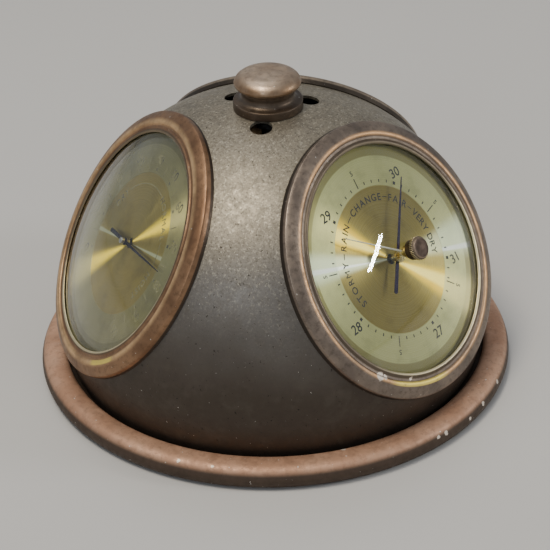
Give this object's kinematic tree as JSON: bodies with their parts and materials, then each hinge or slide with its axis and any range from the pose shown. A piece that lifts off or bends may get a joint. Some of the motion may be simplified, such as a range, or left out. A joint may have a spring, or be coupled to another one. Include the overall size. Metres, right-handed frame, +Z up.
{
  "type": "desk weather station",
  "caption": "Domed desk weather station on a round base, with barometer, hygrometer and thermometer dials under convex glasses and a turned finial.",
  "frame": {"origin": "centre of the base, on the plane that the object stands on", "axes": "+Z up along the dome's axis; -Y out of the barometer's side; the hygrometer is 120 degrees clockwise from the barometer seen from above, the thermometer 120 degrees the other way"},
  "size_m": [0.2, 0.2, 0.1326],
  "materials": {
    "dome_bronze": "dark brown patina over a spun dome, satin and finely pitted",
    "copper": "brown-red lacquered copper, worn bright along the crests",
    "knob_bronze": "dark brown lacquered brass with a knurled edge",
    "brass": "plain machined brass",
    "steel": "plain bright steel",
    "blued_steel": "blued steel, near black",
    "glass": "clear convex glass",
    "rubber": "matte black sealing ring",
    "felt": "dark green felt",
    "dial_gold": "spun gold-coloured dial with black print",
    "bimetal": "bare two-metal strip"
  },
  "bodies": {
    "housing": {"barometer_adjusting_screw": "steel", "barometer_bezel": "copper", "barometer_bridge": "brass", "barometer_capsule": "brass", "barometer_case": "brass", "barometer_chain": "steel", "barometer_dial": "dial_gold", "barometer_frame": "brass", "barometer_gasket": "rubber", "barometer_glass": "glass", "barometer_hairspring": "steel", "barometer_rocker_bracket": "brass", "base_plate": "steel", "base_ring": "copper", "base_screw_1": "steel", "base_screw_2": "steel", "base_screw_3": "steel", "dome_bracket_1": "steel", "dome_bracket_2": "steel", "dome_bracket_3": "steel", "dome_shell": "dome_bronze", "felt_pad": "felt", "finial": "copper", "finial_nut": "steel", "finial_stud": "steel", "finial_washer": "steel", "hygrometer_bezel": "copper", "hygrometer_bridge": "brass", "hygrometer_case": "brass", "hygrometer_coil": "brass", "hygrometer_dial": "dial_gold", "hygrometer_gasket": "rubber", "hygrometer_glass": "glass", "hygrometer_pivot": "brass", "set_bush": "brass", "thermometer_bezel": "copper", "thermometer_bridge": "brass", "thermometer_case": "brass", "thermometer_coil": "bimetal", "thermometer_dial": "dial_gold", "thermometer_gasket": "rubber", "thermometer_glass": "glass", "thermometer_pivot": "brass"},
    "barometer_needle": {"barometer_arbor": "steel", "barometer_hand": "blued_steel", "barometer_hub_cap": "brass"},
    "barometer_rocker": {"barometer_rocker": "steel"},
    "barometer_lever": {"barometer_mainspring": "steel", "barometer_lever": "brass", "barometer_link": "steel"},
    "setting_hand": {"set_knob": "knob_bronze", "set_stem": "brass", "set_hand": "brass"},
    "hygrometer_needle": {"hygrometer_arbor": "steel", "hygrometer_hand": "blued_steel", "hygrometer_hub_cap": "steel"},
    "thermometer_needle": {"thermometer_arbor": "steel", "thermometer_hand": "blued_steel", "thermometer_hub_cap": "steel"}
  },
  "joints": [
    {"name": "barometer_reading", "type": "hinge", "parent": "housing", "child": "barometer_needle", "pos_m": [0, -0.0616, 0.06806], "axis": [0, 0.848, -0.5299], "range_deg": [-265, 76], "stiffness_Nm_per_rad": 0.001, "deforming": ["barometer_hairspring", "barometer_chain"]},
    {"name": "rocker_turn", "type": "hinge", "parent": "housing", "child": "barometer_rocker", "pos_m": [0, -0.06483, 0.02704], "axis": [1, 0, 0], "range_deg": [-5.2, 17.8], "stiffness_Nm_per_rad": 0.005},
    {"name": "lever_flex", "type": "hinge", "parent": "housing", "child": "barometer_lever", "pos_m": [0, -0.02497, 0.08762], "axis": [1, 0, 0], "range_deg": [-1.02, 0.3], "stiffness_Nm_per_rad": 0.3, "springref_deg": -0.26},
    {"name": "setting_knob_turn", "type": "hinge", "parent": "housing", "child": "setting_hand", "pos_m": [0.0006, -0.06102, 0.06899], "axis": [0, 0.848, -0.5299], "continuous": true},
    {"name": "humidity_reading", "type": "hinge", "parent": "housing", "child": "hygrometer_needle", "pos_m": [-0.05335, 0.0308, 0.06806], "axis": [0.7344, -0.424, -0.5299], "range_deg": [-203, 62], "stiffness_Nm_per_rad": 0.002, "deforming": ["hygrometer_coil"]},
    {"name": "temperature_reading", "type": "hinge", "parent": "housing", "child": "thermometer_needle", "pos_m": [0.05335, 0.0308, 0.06806], "axis": [-0.7344, -0.424, -0.5299], "range_deg": [-110, 150], "stiffness_Nm_per_rad": 0.002, "deforming": ["thermometer_coil"]}
  ],
  "couplings": [
    {"joint": "rocker_turn", "follows": "barometer_reading", "ratio": -0.0667},
    {"joint": "lever_flex", "follows": "barometer_reading", "ratio": 0.00378}
  ]
}
